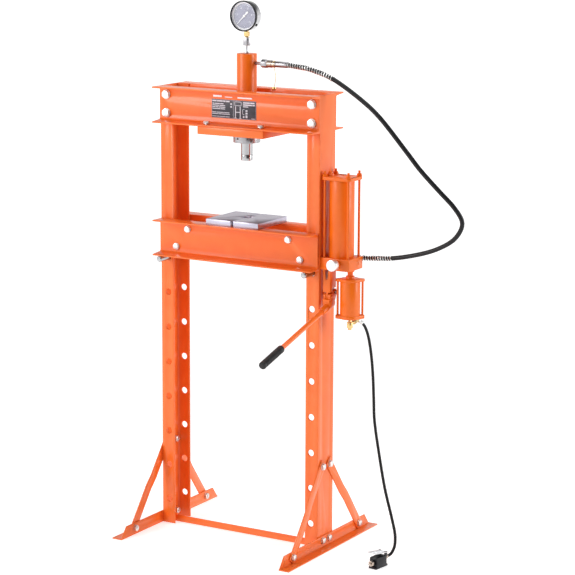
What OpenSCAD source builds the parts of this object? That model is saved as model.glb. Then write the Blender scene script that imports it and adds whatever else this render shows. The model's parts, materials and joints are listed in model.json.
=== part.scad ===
// H-frame hydraulic shop press with an air-over-hydraulic pump, bottom stroke ram and pinned bed.
// Millimetres, Z up, floor at z = 0. The press centre is at x = 0, y = 0 before place() moves the
// whole object so that the middle of its footprint is at the origin.

/* [Frame] */
// outside width over the two post webs
frame_w = 608; // [540:2:700]
// height of the frame from the floor to the top of the head beams
frame_h = 1500; // [1350:10:1650]
// post channel depth, front face to rear face
post_d = 100; // [80:1:120]
// post channel flange width
post_b = 48; // [40:1:60]
// head and bed channel height
beam_h = 120; // [100:1:140]
// head and bed channel flange width
beam_b = 53; // [45:1:65]
// bed pin hole spacing
row_pitch = 120; // [100:1:140]
// height of the top row of bed pin holes
row_top = 926; // [880:1:960]
// foot length, front to rear
foot_len = 600; // [500:5:700]
// foot angle leg width along the floor
foot_leg = 38; // [30:1:50]

/* [Bed] */
// bed pin diameter
pin_d = 20; // [16:1:25]
// bed pin length
pin_len = 216; // [200:1:230]
// thickness of the loose arbor plates
arbor_t = 20; // [15:1:30]
// arbor plate depth, front to rear
arbor_d = 184; // [150:1:200]

/* [Ram] */
// outside diameter of the cylinder tube
cyl_d = 66; // [60:1:80]
// top of the cylinder tube above the floor
cyl_top = 1616; // [1560:1:1660]
// ram diameter
ram_d = 40; // [35:1:45]
// height of the ram nose face when fully retracted
nose_z = 1266; // [1240:1:1290]
// outside diameter of the lock ring
ring_d = 90; // [80:1:100]
// gauge diameter
gauge_d = 100; // [80:1:120]

/* [Pump] */
// outside diameter of the oil reservoir tube
res_d = 81; // [70:1:95]
// top of the reservoir
res_top = 1230; // [1180:1:1260]
// top of the pump base block
block_top = 979; // [960:1:1000]
// height of the pump base block
block_h = 39; // [34:1:46]
// outside diameter of the air motor barrel
motor_d = 65; // [60:1:68]
// length of the air motor barrel
motor_len = 110; // [100:1:125]
// handle bar diameter
bar_d = 16; // [14:1:20]
// drop of the handle below level
bar_drop = 15.6; // [10:0.1:20]
// length of the handle from the socket mouth to the end of the grip
bar_len = 437; // [380:1:470]

/* [Hoses] */
// hydraulic hose diameter
hyd_d = 15; // [12:0.5:18]
// air hose diameter
air_d = 10; // [8:0.5:12]

/* [Hidden] */
$fn = 48;

web_t = 5.3;
hw = frame_w / 2;
hd = post_d / 2;
hole_x = hw - 27;
row_r = (pin_d + 2) / 2;
foot_h = 40;
foot_t = 4;
brace_w = 34;
brace_t = 4;
brace_foot_y = 220;
brace_top = [24, 278];
brace_foot_z = 23;
brace_len = norm([brace_foot_y - brace_top[0], brace_top[1] - brace_foot_z]);
brace_tilt = atan2(brace_foot_y - brace_top[0], brace_top[1] - brace_foot_z);
head_z = frame_h - beam_h / 2;
head_rows = [frame_h - 28, frame_h - 89];
bed_z0 = row_top + pin_d / 2 + 0.3;
bed_gap = 3.5;
bed_y = hd + bed_gap;
bed_web = 5.5;
bed_holes = [[193, bed_z0 + 92], [238, bed_z0 + 30]];
plate_t = 25;
plate_z = frame_h - beam_h - plate_t;
bore_r = 25;
gauge_z = 1738;
coup_z = 1586;
pump_x = hw + 54;
block_z = block_top - block_h;
motor_x = hw + 87;
motor_z = block_z - 38;
motor_bot = motor_z - motor_len;
motor_turn = 30;
motor_rod = 40;
ear_r = 7;
link_x = hw + 24;
fulcrum = [-33, 852];
lever = 28;
crank = 22.5;
plunger_y = fulcrum[0] + lever * cos(crank);
plunger_pin_z = fulcrum[1] + lever * sin(crank);
bar_off = 33;
sock = [fulcrum[0] + bar_off * sin(bar_drop), fulcrum[1] - bar_off * cos(bar_drop)];
grip_len = 122;
grip_r = 12.5;
bar_dir = [-cos(bar_drop), -sin(bar_drop)];
tip = sock + bar_len * bar_dir;
pedal_at = [557, -98, 0];
pedal_yaw = 82;

// middle of the footprint, from the outermost faces of the solid parts
x_right = motor_x + motor_rod * cos(motor_turn) + ear_r;
x_left = -(hw + foot_leg);
y_front = tip[0] - grip_r * sin(bar_drop);
y_rear = foot_len / 2;
mid = [(x_right + x_left) / 2, (y_front + y_rear) / 2];

hyd_route = [[157, 0, 1586], [240, 0, 1576], [323, 0, 1549], [422, 0, 1491], [494, 0, 1435],
    [582, 5, 1338], [633, 10, 1279], [693, 18, 1219], [745, 28, 1166], [768, 38, 1118],
    [741, 46, 1068], [686, 52, 1031], [613, 56, 1003], [510, 60, 979], [403, 60, 970]];
air_route = [[391, 58, 763], [404, 74, 744], [416, 81, 706], [426, 84, 643], [434, 82, 573],
    [441, 76, 498], [450, 66, 432], [474, 50, 343], [512, 25, 227], [549, 4, 141],
    [569, -8, 90], [575, -18, 58], [573.31, -25.06, 40.5], [570.02, -32.68, 29.6],
    [566.33, -40.24, 24.9], [564.495, -45.03, 24], [564.007, -48.14, 24]];

module place() translate([-mid[0], -mid[1], 0]) children();

// ---- shared shapes ----
module channel_2d(h, b, tw, tip_t, root_t)
    polygon([[0, -h / 2], [b, -h / 2], [b, -h / 2 + tip_t], [tw + 3, -h / 2 + root_t],
        [tw, -h / 2 + root_t + 3], [tw, h / 2 - root_t - 3], [tw + 3, h / 2 - root_t],
        [b, h / 2 - tip_t], [b, h / 2], [0, h / 2]]);

module beam(length, web) translate([-length / 2, 0, 0]) rotate([90, 0, 90])
    linear_extrude(length) channel_2d(beam_h, beam_b, web, 5, 9);

module rounded_2d(w, d, r) {
    square([w - 2 * r, d], center = true);
    square([w, d - 2 * r], center = true);
    for (i = [-1, 1]) for (j = [-1, 1]) translate([i * (w / 2 - r), j * (d / 2 - r)]) circle(r);
}

module hex(af, h) cylinder(h = h, r = af / 2 / cos(30), $fn = 6);

// head above z = 0, shank below it, nut with its top face at -grip
module bolt(d, af, head, length, grip) {
    hex(af, head);
    translate([0, 0, -length]) cylinder(h = length, d = d);
    translate([0, 0, -grip - 0.8 * d]) hex(af, 0.8 * d);
}

module across(x, y, z, length, r) translate([x, y, z]) rotate([-90, 0, 0])
    cylinder(h = length, r = r);

module along(x, y, z, length, r) translate([x, y, z]) rotate([0, 90, 0])
    cylinder(h = length, r = r);

function blend(a, b, c, d, t) = 0.5 * ((2 * b) + (c - a) * t + (2 * a - 5 * b + 4 * c - d) * t * t
    + (3 * b - a - 3 * c + d) * t * t * t);
function route_at(p, i, t) = blend(p[max(i - 1, 0)], p[i], p[i + 1], p[min(i + 2, len(p) - 1)], t);
function smooth(p, k) = concat([for (i = [0 : len(p) - 2]) for (j = [0 : k - 1])
    route_at(p, i, j / k)], [p[len(p) - 1]]);
function unit(v) = v / norm(v);
function heading(q, i) = unit(q[min(i + 1, len(q) - 1)] - q[max(i - 1, 0)]);
function ring_at(q, i, r, ref, n) = let (t = heading(q, i), u = unit(cross(t, ref)), v = cross(t, u))
    [for (k = [0 : n - 1]) q[i] + r * (cos(360 * k / n) * u + sin(360 * k / n) * v)];

module solid_tube(q, r, ref, n) {
    m = len(q);
    pts = [for (i = [0 : m - 1]) each ring_at(q, i, r, ref, n)];
    side = [for (i = [0 : m - 2]) for (k = [0 : n - 1]) let (a = i * n + k, b = i * n + (k + 1) % n)
        [a, b, b + n, a + n]];
    polyhedron(pts, concat(side, [[for (k = [n - 1 : -1 : 0]) k]],
        [[for (k = [0 : n - 1]) (m - 1) * n + k]]));
}

module hollow_tube(q, r, ri, ref, n) {
    m = len(q);
    s = m * n;
    pts = concat([for (i = [0 : m - 1]) each ring_at(q, i, r, ref, n)],
        [for (i = [0 : m - 1]) each ring_at(q, i, ri, ref, n)]);
    outer = [for (i = [0 : m - 2]) for (k = [0 : n - 1]) let (a = i * n + k, b = i * n + (k + 1) % n)
        [a, b, b + n, a + n]];
    inner = [for (i = [0 : m - 2]) for (k = [0 : n - 1])
        let (a = s + i * n + k, b = s + i * n + (k + 1) % n) [b, a, a + n, b + n]];
    e = (m - 1) * n;
    ends = [for (k = [0 : n - 1]) let (a = k, b = (k + 1) % n) each
        [[b, a, s + a, s + b], [e + a, e + b, s + e + b, s + e + a]]];
    polyhedron(pts, concat(outer, inner, ends));
}

// ---- frame ----
module post() difference() {
    translate([-hw, 0, 0]) linear_extrude(frame_h) channel_2d(post_d, post_b, web_t, 5, 8.5);
    for (k = [0 : 7]) across(-hole_x, -hd - 1, row_top - k * row_pitch, post_d + 2, row_r);
    for (z = head_rows) across(-hole_x, -hd - 1, z, post_d + 2, 8.5);
    for (y = [-1, 1]) {
        along(-hw - 1, y * 20, 25, web_t + 2, 6.5);
        along(-hw - 1, y * brace_top[0], brace_top[1], web_t + 2, 6.5);
    }
}

module post_left() color("orangered") place() post();

module post_right() color("orangered") place() mirror([1, 0, 0]) difference() {
    post();
    for (y = [-1, 1]) along(-hw - 1, y * 28, block_z + 20, web_t + 2, 4.5);
}

module head_beam() difference() {
    translate([0, hd, head_z]) beam(frame_w, 5.5);
    for (s = [-1, 1]) {
        for (z = head_rows) across(s * hole_x, hd - 1, z, 8, 8.5);
        translate([s * 103, 82, frame_h - beam_h - 1]) cylinder(h = 12, r = 6.5);
    }
}

module head_beam_front() color("orangered") place() mirror([0, 1, 0]) head_beam();
module head_beam_rear() color("orangered") place() head_beam();

module head_bolts() color("silver") place()
    for (s = [-1, 1]) for (m = [0, 1]) mirror([0, m, 0]) for (z = head_rows)
        translate([s * hole_x, hd + 5.5, z]) rotate([-90, 0, 0]) bolt(16, 24, 10, 30, 14.1);

module foot() difference() {
    union() {
        translate([hw, -foot_len / 2, 0]) cube([foot_leg, foot_len, foot_t]);
        translate([hw, 0, 0]) rotate([90, 0, 90]) linear_extrude(foot_t)
            polygon([[-foot_len / 2, 0], [foot_len / 2, 0], [foot_len / 2 - 31, foot_h],
                [31 - foot_len / 2, foot_h]]);
    }
    for (y = [-brace_foot_y, -20, 20, brace_foot_y])
        along(hw - 1, y, y * y < 1000 ? 25 : brace_foot_z, foot_t + 2, 6.5);
}

module foot_left() color("orangered") place() mirror([1, 0, 0]) foot();
module foot_right() color("orangered") place() foot();

// flat bar lying on the foot at its lower end and on the post web at its upper end, with the
// corner that would meet the foot's floor leg cut away
module brace() difference() {
    translate([hw, brace_foot_y, brace_foot_z]) rotate([brace_tilt, 0, 0]) difference() {
        translate([0, brace_w / 2, 0]) rotate([90, 0, 0]) linear_extrude(brace_w)
            polygon([[foot_t, -16], [foot_t + brace_t, -16], [foot_t + brace_t, 150],
                [brace_t, 190], [brace_t, brace_len + 16], [0, brace_len + 16], [0, 190],
                [foot_t, 150]]);
        for (z = [0, brace_len]) along(-1, 0, z, 12, 6.5);
    }
    translate([hw - 1, brace_foot_y - 50, -20]) cube([20, 100, foot_t + 20.3]);
}

module brace_right_rear() color("orangered") place() brace();
module brace_right_front() color("orangered") place() mirror([0, 1, 0]) brace();
module brace_left_rear() color("orangered") place() mirror([1, 0, 0]) brace();
module brace_left_front() color("orangered") place() mirror([1, 0, 0]) mirror([0, 1, 0]) brace();

module cross_bar() color("orangered") place() difference() {
    union() {
        translate([web_t - hw, -24, 1]) cube([frame_w - 2 * web_t, 3, 23]);
        translate([web_t - hw, -24, 1]) cube([frame_w - 2 * web_t, 23, 3]);
        for (m = [0, 1]) mirror([m, 0, 0]) translate([web_t - hw, -30, 1]) cube([4, 60, 38]);
    }
    for (m = [0, 1]) mirror([m, 0, 0]) {
        for (y = [-20, 20]) along(-hw, y, 25, 32, 6.5);
        translate([web_t - hw + 4, -31, 15]) cube([10, 25, 25]);
    }
}

module base_bolts() color("silver") place() for (m = [0, 1]) mirror([m, 0, 0]) {
    for (y = [-20, 20]) translate([hw + foot_t, y, 25]) rotate([0, 90, 0]) bolt(12, 19, 8, 27, 13.4);
    for (y = [-1, 1]) {
        translate([hw + brace_t, y * brace_top[0], brace_top[1]]) rotate([0, 90, 0])
            bolt(12, 19, 8, 22, web_t + brace_t + 0.1);
        translate([hw + foot_t + brace_t, y * brace_foot_y, brace_foot_z]) rotate([0, 90, 0])
            bolt(12, 19, 8, 20, foot_t + brace_t + 0.1);
    }
}

module data_plate() color("dimgray") place() translate([-100, -hd - 6.3, 1407]) cube([170, 0.8, 61]);

// ---- cylinder ----
module cylinder_plate() color("orangered") place() translate([0, 0, plate_z]) difference() {
    translate([-125, -105, 0]) cube([250, 210, plate_t]);
    translate([0, 0, -1]) cylinder(h = plate_t + 2, d = cyl_d + 0.4);
    for (i = [-1, 1]) for (j = [-1, 1]) translate([i * 103, j * 82, -1])
        cylinder(h = plate_t + 2, r = 6.1);
}

module plate_bolts() color("silver") place() for (i = [-1, 1]) for (j = [-1, 1])
    translate([i * 103, j * 82, plate_z + plate_t + 9.2]) {
        hex(19, 8);
        translate([0, 0, -28]) cylinder(h = 28, d = 12);
    }

module cylinder_tube() color("orangered") place() difference() {
    union() {
        translate([0, 0, plate_z - 27]) cylinder(h = cyl_top - plate_z + 27, d = cyl_d);
        translate([0, 0, plate_z + plate_t]) cylinder(h = 12, d = ring_d);
    }
    translate([0, 0, plate_z + 5]) cylinder(h = cyl_top - plate_z - 21, r = bore_r);
    translate([0, 0, plate_z - 28]) cylinder(h = 40, r = ram_d / 2 + 0.05);
    translate([0, 0, cyl_top - 20]) cylinder(h = 30, r = 3);
    along(0, 0, coup_z, 40, 4);
    along(cyl_d / 2 - 4.2, 0, coup_z, 10, 5.4);
}

module lock_ring() color("silver") place() difference() {
    translate([0, 0, plate_z - 29]) cylinder(h = 29, d = ring_d);
    translate([0, 0, plate_z - 30]) cylinder(h = 31, d = cyl_d + 0.2);
    for (a = [20 : 60 : 340]) rotate([0, 0, a]) along(ring_d / 2 - 6, 0, plate_z - 14, 10, 3.5);
}

module ram_piston() color("gray") place() difference() {
    translate([0, 0, 1550]) cylinder(h = 25, r = bore_r - 0.03);
    translate([0, 0, 1562]) rotate_extrude() translate([bore_r - 3, 0]) square([4, 4]);
}

module ram_rod() color("silver") place()
    translate([0, 0, nose_z + 20]) cylinder(h = 1550 - nose_z - 20, d = ram_d);

module ram_nose() color("silver") place() translate([0, 0, nose_z]) difference() {
    cylinder(h = 20, d = ram_d);
    translate([0, 0, -1]) rotate_extrude() polygon([[ram_d / 2 - 1, 0], [ram_d / 2 + 1, 0],
        [ram_d / 2 + 1, 3], [ram_d / 2, 2.5]]);
    translate([0, 0, 18.6]) difference() {
        cylinder(h = 0.8, d = ram_d + 2);
        translate([0, 0, -1]) cylinder(h = 3, d = ram_d - 1.2);
    }
}

// ---- gauge ----
module gauge_case() color("silver") place() translate([0, 0, gauge_z]) difference() {
    across(0, -21, 0, 31, gauge_d / 2 - 2);
    across(0, -22, 0, 29, gauge_d / 2 - 4);
    translate([0, 0, -gauge_d / 2]) cylinder(h = 10, r = 5.9);
}

module gauge_bezel() color("black") place() difference() {
    across(0, -26, gauge_z, 10, gauge_d / 2);
    across(0, -27, gauge_z, 4.6, gauge_d / 2 - 6);
    across(0, -24, gauge_z, 10, gauge_d / 2 - 1.9);
}

module gauge_lens() color("white", 0.3) place() across(0, -22.2, gauge_z, 2, gauge_d / 2 - 4.5);

module gauge_dial() color("lavender") place() difference() {
    across(0, -14, gauge_z, 1.2, gauge_d / 2 - 4.2);
    across(0, -15, gauge_z, 4, 1.6);
}

// points to zero, low on the left
module gauge_needle() color("white") place() translate([0, 0, gauge_z]) rotate([0, -45, 0]) {
    across(0, -18.5, 0, 8, 1.5);
    across(0, -17.8, 0, 1.8, 4);
    translate([0, -16.6, 0]) rotate([90, 0, 0]) linear_extrude(1)
        polygon([[-38, -0.6], [-38, 0.6], [-2, 1.6], [8, 1.8], [12, 3.2], [20, 3.2], [20, -3.2],
            [12, -3.2], [8, -1.8], [-2, -1.6]]);
}

module gauge_stem() color("gold") place() difference() {
    union() {
        translate([0, 0, 1668]) cylinder(h = gauge_z - gauge_d / 2 + 4 - 1668 + 3, d = 11.6);
        translate([-7, -7, 1672]) cube([14, 14, 14]);
    }
    translate([0, 0, 1660]) cylinder(h = 28, r = 1.8);
}

module gauge_adapter() color("silver") place() {
    translate([0, 0, 1642]) difference() {
        hex(24, 26.5);
        translate([0, 0, 15]) cylinder(h = 20, r = 6);
        translate([0, 0, 10]) cylinder(h = 20, r = 3.5);
    }
    translate([0, 0, 1601]) cylinder(h = 42, d = 5.8);
    translate([0, 0, cyl_top]) hex(14, 6);
}

// ---- hydraulic line ----
module hose_coupler() color("silver") place() difference() {
    union() {
        along(cyl_d / 2 - 4, 0, coup_z, 31, 5.2);
        translate([58, 0, coup_z]) rotate([0, 90, 0]) hex(24, 22);
        along(80, 0, coup_z, 45, 8);
        along(112, 0, coup_z, 43.7, 10);
    }
    along(150, 0, coup_z, 8, hyd_d / 2 + 0.4);
}

module coupler_sleeve() color("goldenrod") place() difference() {
    union() {
        along(80.2, 0, coup_z, 18, 12);
        along(98.2, 0, coup_z, 12, 10.2);
    }
    along(79, 0, coup_z, 40, 8.3);
}

module dust_cap() color("goldenrod") place() {
    translate([24.3, -2, 1543.5]) rotate([90, 0, 0]) rotate([0, 0, -21.6])
        rotate_extrude(angle = 43.2) translate([85.7, 0]) circle(1);
    difference() {
        translate([104, -2, 1501.5]) cylinder(h = 11, r = 6.5);
        translate([104, -2, 1500]) cylinder(h = 9, r = 5);
    }
    translate([104.2, 0, coup_z]) rotate([0, 90, 0]) difference() {
        cylinder(h = 1.6, r = 11.8);
        translate([0, 0, -1]) cylinder(h = 4, r = 10.5);
    }
}

hyd_path = smooth(hyd_route, 3);
module hydraulic_hose() color("black") place() solid_tube(hyd_path, hyd_d / 2, [0, 1, 0], 12);
module hose_guards() color("silver") place() {
    hollow_tube([for (i = [0 : 6]) hyd_path[i]], 10, hyd_d / 2 + 0.6, [0, 1, 0], 16);
    hollow_tube([for (i = [39 : 42]) hyd_path[i]], 10, hyd_d / 2 + 0.6, [0, 1, 0], 16);
}

module pump_elbow() color("silver") place() {
    across(383, 45.1, 968, 8, 8);
    translate([383, 60, 959]) linear_extrude(18)
        polygon([[-9, -9], [9, -9], [9, 9], [-2, 9], [-9, 2]]);
    translate([388, 60, 968]) rotate([0, 90, 0]) hex(15, 14.5);
}

// ---- bed ----
module bed_channel() difference() {
    translate([0, bed_y, bed_z0 + beam_h / 2]) beam(frame_w - 2, bed_web);
    for (s = [-1, 1]) for (h = bed_holes) across(s * h[0], bed_y - 1, h[1], 8, 6.5);
}

module bed_channel_front() color("orangered") place() mirror([0, 1, 0]) bed_channel();
module bed_channel_rear() color("orangered") place() bed_channel();

module bed_spacers() color("orangered") place() for (s = [-1, 1]) for (h = bed_holes) difference() {
    across(s * h[0], -bed_y, h[1], 2 * bed_y, 11);
    across(s * h[0], -bed_y - 1, h[1], 2 * bed_y + 2, 6.5);
}

module bed_bolts() color("silver") place() for (s = [-1, 1]) for (h = bed_holes)
    translate([s * h[0], -bed_y - bed_web, h[1]]) rotate([90, 0, 0])
        bolt(12, 19, 8, 2 * bed_y + 2 * bed_web + 14, 2 * bed_y + 2 * bed_web);

module bed_pin(x) difference() {
    across(x, -pin_len / 2, row_top, pin_len, pin_d / 2);
    for (m = [0, 1]) mirror([0, m, 0]) translate([x, -pin_len / 2 - 1, row_top]) rotate([-90, 0, 0])
        rotate_extrude() polygon([[pin_d / 2 - 3, 0], [pin_d / 2 + 1, 0], [pin_d / 2 + 1, 4],
            [pin_d / 2, 4]]);
}

module bed_pin_left() color("silver") place() bed_pin(-hole_x);
module bed_pin_right() color("silver") place() bed_pin(hole_x);

// one of the two loose plates, notched in the edge that faces the other plate
module arbor_plate() translate([0, -1, bed_z0 + beam_h + 0.05]) linear_extrude(arbor_t) difference() {
    translate([1.2, -arbor_d / 2]) square([98.8, arbor_d]);
    translate([-1, -11]) square([18, 34]);
    for (j = [-1, 1]) translate([1.2, j * arbor_d / 2]) circle(r = 4, $fn = 4);
}

module arbor_plate_right() color("gray") place() arbor_plate();
module arbor_plate_left() color("gray") place() mirror([1, 0, 0]) arbor_plate();

// ---- pump ----
module pump_base() color("orangered") place() difference() {
    union() {
        translate([hw, -45, block_z]) cube([107, 90, block_h]);
        across(367, -62, 963, 18, 13);
        along(hw + 106, 11, 961, 3.5, 9);
        translate([motor_x, 0, block_z - 6]) hex(26, 7);
        translate([link_x, plunger_y, block_z - 10]) hex(15, 11);
    }
    across(367, -63, 963, 40, 4.1);
    along(hw + 108, 11, 961, 3, 4);
    translate([link_x, plunger_y, block_z - 11]) cylinder(h = 46, r = 6.05);
    across(383, 20, 968, 26, 4);
    for (y = [-28, 28]) along(hw - 1, y, block_z + 20, 16, 4.3);
}

module pump_bolts() color("silver") place() for (y = [-28, 28])
    translate([hw - web_t - 0.1, y, block_z + 20]) rotate([0, -90, 0]) {
        hex(13, 5.5);
        translate([0, 0, -18]) cylinder(h = 18, d = 8);
    }

module pump_reservoir() color("orangered") place() translate([pump_x, 0, block_top]) difference() {
    cylinder(h = res_top - block_top, d = res_d);
    translate([0, 0, -1]) cylinder(h = res_top - block_top + 2, d = res_d - 6);
}

module pump_cap() color("orangered") place() {
    translate([pump_x, 0, res_top]) linear_extrude(11) difference() {
        rounded_2d(108, 90, 14);
        for (i = [-1, 1]) for (j = [-1, 1]) translate([i * 43, j * 36]) circle(4.3);
    }
    translate([pump_x - 34, -15, res_top + 11]) cylinder(h = 8, r = 11);
    translate([pump_x - 34, -15, res_top + 19]) hex(14, 7);
}

module pump_tie_rods() color("orangered") place() for (i = [-1, 1]) for (j = [-1, 1])
    translate([pump_x + i * 43, j * 36, block_top]) {
        cylinder(h = res_top - block_top + 28, d = 8);
        translate([0, 0, res_top - block_top + 11.1]) hex(14, 8);
    }

module release_knob() color("white") place() {
    across(367, -85, 963, 20, 19);
    across(367, -66, 963, 40, 4);
}

// fixed bracket hung from the pump base, open at the back, with a tongue for the handle's pin
module pump_link() color("orangered") place() {
    difference() {
        translate([link_x - 13, -44, 866]) cube([26, 40, block_z - 866]);
        translate([link_x - 9, -40, 860]) cube([18, 50, block_z - 854]);
        translate([link_x - 14, -24, 860]) cube([28, 30, 18]);
        translate([link_x, -39, 0]) rotate([90, 0, 0]) linear_extrude(6)
            polygon([[-7, 941], [7, 941], [2.5, 908], [-2.5, 908]]);
    }
    translate([link_x - 3.8, -42, 866]) cube([7.6, 16, 12]);
    translate([link_x - 3.8, -40, 843]) cube([7.6, 14, 25]);
    along(link_x - 17, fulcrum[0], fulcrum[1], 34, 4);
}

module pump_plunger() color("silver") place() {
    translate([link_x, plunger_y, plunger_pin_z + 15]) cylinder(h = 958 - plunger_pin_z, r = 6);
    translate([link_x - 3.8, plunger_y - 5.5, plunger_pin_z]) cube([7.6, 11, 16]);
    along(link_x - 3.8, plunger_y, plunger_pin_z, 7.6, 7.5);
    along(link_x - 18, plunger_y, plunger_pin_z, 36, 3.9);
    translate([link_x + 13.4, plunger_y, plunger_pin_z]) rotate([0, 90, 0]) hex(13, 6);
}

module handle_socket() color("orangered") place() translate([link_x, fulcrum[0], fulcrum[1]])
    rotate([bar_drop, 0, 0]) difference() {
        union() {
            along(-13, 0, 0, 26, 9);
            translate([-13, -9, -bar_off]) cube([26, 18, bar_off]);
            translate([-13, -16, -bar_off]) cube([26, 34, bar_off - 5]);
            for (m = [0, 1]) mirror([m, 0, 0]) translate([-13, 0, 0]) rotate([90, 0, 90])
                linear_extrude(8.5) polygon([[-9, -20], [20, -20], [36, -3], [36, 12], [20, 12],
                    [-9, 0]]);
            across(0, -52, -bar_off, 68, bar_d / 2 + 4);
        }
        along(-14, 0, 0, 28, 4.05);
        across(0, -53, -bar_off, 60, bar_d / 2 + 0.1);
        rotate([crank - bar_drop, 0, 0]) {
            for (s = [25.2, 29]) along(-14, s, 0, 28, 4.3);
            translate([-14, 25.2, -4.3]) cube([28, 3.8, 8.6]);
        }
        translate([-4.5, -12, -12.5]) cube([9, 60, 40]);
        translate([-4.5, 9.2, -18]) cube([9, 40, 40]);
    }

module handle_bar() color("orangered") place() translate([link_x, sock[0], sock[1]])
    rotate([bar_drop, 0, 0]) difference() {
        across(0, -bar_len + 6, 0, bar_len, bar_d / 2);
        across(0, -bar_len, 0, bar_len, bar_d / 2 - 2.5);
    }

module handle_grip() color("black") place() translate([link_x, sock[0], sock[1]])
    rotate([bar_drop, 0, 0]) difference() {
        across(0, -bar_len, 0, grip_len, grip_r);
        across(0, -bar_len + 5, 0, grip_len, bar_d / 2 + 0.05);
        across(0, -bar_len - 1, 0, 10, 4);
    }

// ---- air motor ----
module motor_barrel() color("orangered") place() {
    translate([motor_x, 0, motor_bot]) difference() {
        cylinder(h = motor_len, d = motor_d);
        translate([0, 0, 4]) cylinder(h = motor_len - 8, d = motor_d - 8);
    }
    translate([motor_x, 0, motor_z + 9]) cylinder(h = block_z - 6 - motor_z - 9, r = 9);
}

// oval end plate of the air motor with an ear for each tie rod
module motor_plate(z, h) translate([0, 0, z]) linear_extrude(h) {
    circle(d = motor_d + 1);
    for (i = [-1, 1]) hull() {
        translate([i * motor_rod, 0]) circle(ear_r);
        translate([i * 20, 0]) square([1, 46], center = true);
    }
}

module motor_ends() color("orangered") place() translate([motor_x, 0, 0]) rotate([0, 0, motor_turn]) {
    motor_plate(motor_z, 9);
    translate([0, 0, motor_z + 9]) difference() {
        cylinder(h = 9, r = 14);
        translate([0, 0, -1]) cylinder(h = 11, r = 9.3);
    }
    motor_plate(motor_bot - 12, 12);
    for (i = [-1, 1]) translate([i * motor_rod, 0, motor_bot - 1]) cylinder(h = motor_len + 2, d = 7);
}

module air_elbow() color("goldenrod") place() translate([motor_x, 0, 0]) {
    translate([0, 0, motor_bot - 24]) cylinder(h = 12, r = 5);
    translate([0, 0, motor_bot - 43]) hex(19, 19);
    translate([0, 0, motor_bot - 50]) cylinder(h = 7, r = 6);
    difference() {
        across(0, 0, motor_bot - 29, 54, 6);
        across(0, 50, motor_bot - 29, 5, 4);
    }
    translate([0, 22, motor_bot - 29]) rotate([-90, 0, 0]) hex(15, 12);
}

module air_hose() color("black") place()
    solid_tube(smooth(air_route, 3), air_d / 2, [1, 0, 0], 10);

// ---- foot valve ----
module at_pedal() translate(pedal_at) rotate([0, 0, pedal_yaw]) children();

module pedal_body() color("black") place() at_pedal() difference() {
    union() {
        translate([0, 15, 0]) rotate([90, 0, 0]) linear_extrude(30)
            polygon([[-31, 0], [31, 0], [31, 5], [26, 9], [26, 36], [-24, 36], [-26, 30], [-26, 9],
                [-31, 5]]);
        for (s = [-1, 1]) translate([16, s * 13 - 2, 30]) cube([13, 4, 19]);
    }
    along(-32, 0, 20, 40, 4.5);
    along(20, 0, 24, 20, 4.5);
}

module pedal_tread() color("silver") place() at_pedal() {
    difference() {
        translate([24, 0, 45]) rotate([0, 8, 0]) translate([-62, -17, 0]) cube([68, 34, 2.5]);
        for (y = [-15.4, 10.6]) translate([14, y, 30]) cube([24, 4.8, 19.6]);
    }
    translate([24, -10.5, 42.6]) rotate([-90, 0, 0]) cylinder(h = 21, r = 2.4);
    translate([22, -9, 42]) cube([4, 18, 3.6]);
}

module pedal_fittings() color("goldenrod") place() at_pedal() {
    difference() {
        along(-43, 0, 20, 23, 4.4);
        along(-44, 0, 20, 12, 3);
    }
    translate([-41, 0, 20]) rotate([0, 90, 0]) difference() {
        hex(17, 9.5);
        translate([0, 0, -1]) cylinder(h = 12, r = 4.6);
    }
    along(-50, 0, 20, 14, 2.9);
    along(24, 0, 24, 26, 4.4);
    translate([31.2, 0, 24]) rotate([0, 90, 0]) hex(15, 14);
}

post_left();
post_right();
head_beam_front();
head_beam_rear();
head_bolts();
foot_left();
foot_right();
brace_left_front();
brace_left_rear();
brace_right_front();
brace_right_rear();
cross_bar();
base_bolts();
data_plate();
cylinder_plate();
plate_bolts();
cylinder_tube();
lock_ring();
ram_piston();
ram_rod();
ram_nose();
gauge_case();
gauge_bezel();
gauge_lens();
gauge_dial();
gauge_needle();
gauge_stem();
gauge_adapter();
hose_coupler();
coupler_sleeve();
dust_cap();
hydraulic_hose();
hose_guards();
pump_elbow();
bed_channel_front();
bed_channel_rear();
bed_spacers();
bed_bolts();
bed_pin_left();
bed_pin_right();
arbor_plate_left();
arbor_plate_right();
pump_base();
pump_bolts();
pump_reservoir();
pump_cap();
pump_tie_rods();
release_knob();
pump_link();
pump_plunger();
handle_socket();
handle_bar();
handle_grip();
motor_barrel();
motor_ends();
air_elbow();
air_hose();
pedal_body();
pedal_tread();
pedal_fittings();
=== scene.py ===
# %% [markdown]
# # A hydraulic shop press, dressed
# The press is an H-frame of painted steel channel. A pump on the right post pushes oil through a hose
# into the cylinder in the head, and the ram comes down on the work lying on a pinned bed. The exact
# model of the machine is loaded as a fixed frame. Everything here is about how it looks: rounded
# steel edges, screws, coil guards, a gauge that could be read, and paint, zinc, brass and rubber.

# %% Load the frame
import json
import math

import bpy
from mathutils import Matrix, Vector


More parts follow.
